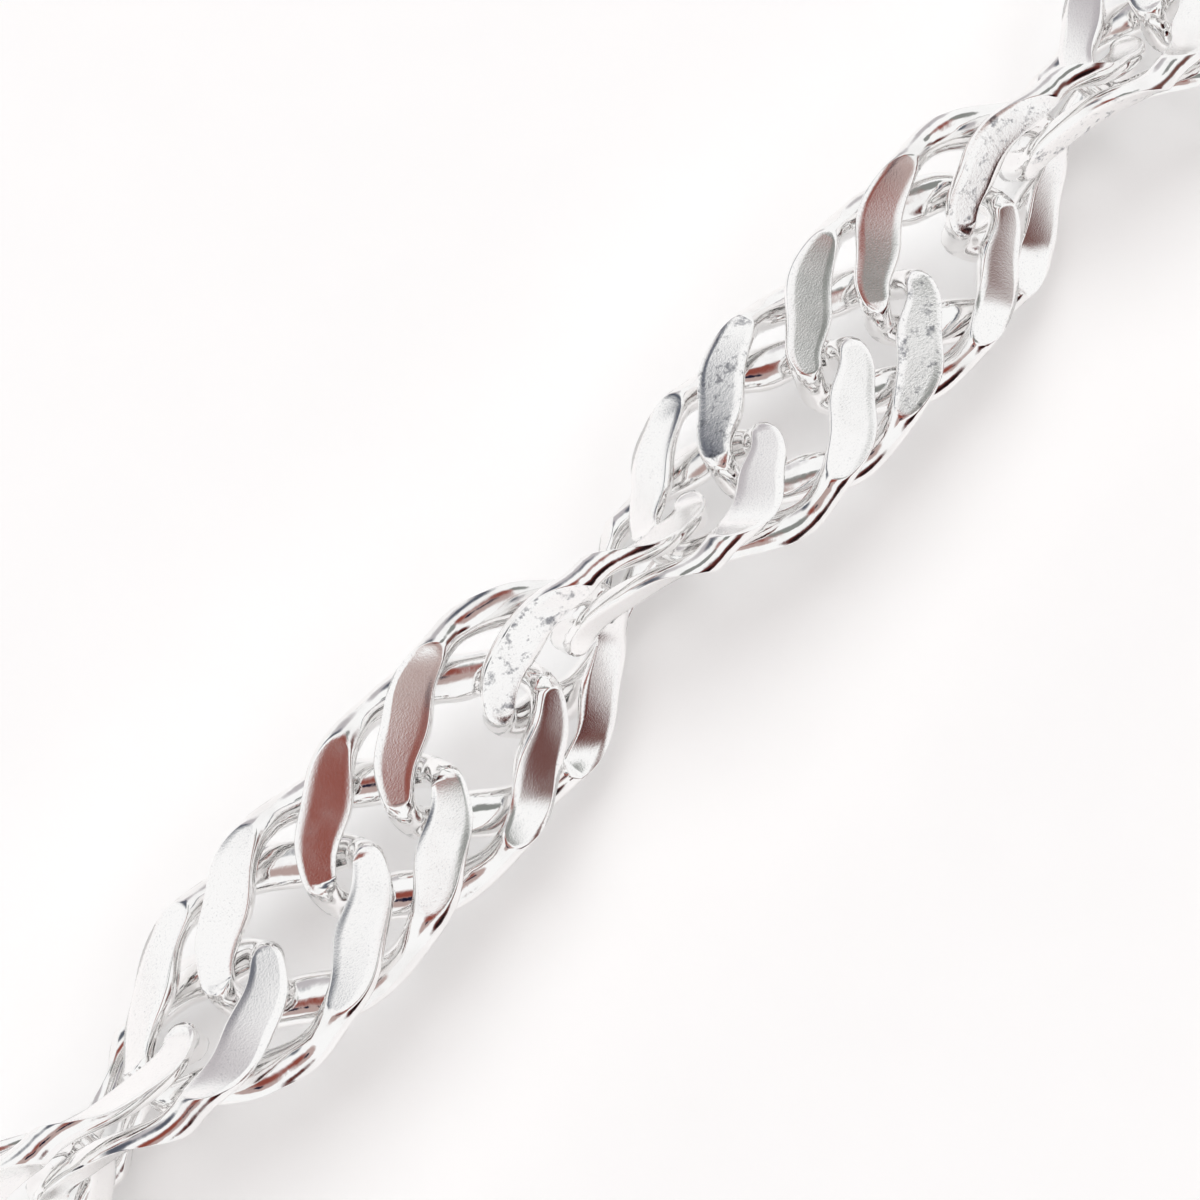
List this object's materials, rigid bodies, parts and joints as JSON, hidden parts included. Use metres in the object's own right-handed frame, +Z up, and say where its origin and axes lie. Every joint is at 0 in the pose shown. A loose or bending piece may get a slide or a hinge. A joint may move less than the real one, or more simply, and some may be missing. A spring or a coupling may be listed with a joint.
{
  "type": "singapore chain necklace",
  "caption": "Twisted double curb neck chain of silver wire links with flat cut faces, laid in an oval loop and closed at the back by a plain barrel clasp.",
  "frame": {"origin": "middle of the oval loop, on the surface that the necklace lies on", "axes": "+X along the oval's long sides, so that the pictured stretch runs along the side at -Y and the clasp lies at +Y; +Z up, away from the surface"},
  "size_m": [0.1772, 0.0936, 0.0036],
  "materials": {
    "silver": "mirror polished sterling silver"
  },
  "bodies": {
    "root": {"link_01": "silver", "link_02": "silver", "link_03": "silver", "link_04": "silver", "link_05": "silver", "link_06": "silver", "link_07": "silver", "link_08": "silver", "link_09": "silver", "link_10": "silver", "link_11": "silver", "link_12": "silver", "link_13": "silver", "link_14": "silver", "link_15": "silver", "link_16": "silver", "link_17": "silver", "link_18": "silver", "link_19": "silver", "link_20": "silver", "link_21": "silver", "link_22": "silver", "link_23": "silver", "link_24": "silver", "link_25": "silver", "link_26": "silver", "link_27": "silver", "link_28": "silver", "link_29": "silver", "link_30": "silver", "link_31": "silver", "link_32": "silver", "link_33": "silver", "link_34": "silver", "link_35": "silver", "link_36": "silver", "link_37": "silver", "link_38": "silver", "link_39": "silver", "link_40": "silver", "chain_left": "silver", "chain_right": "silver", "clasp": "silver"}
  },
  "joints": []
}
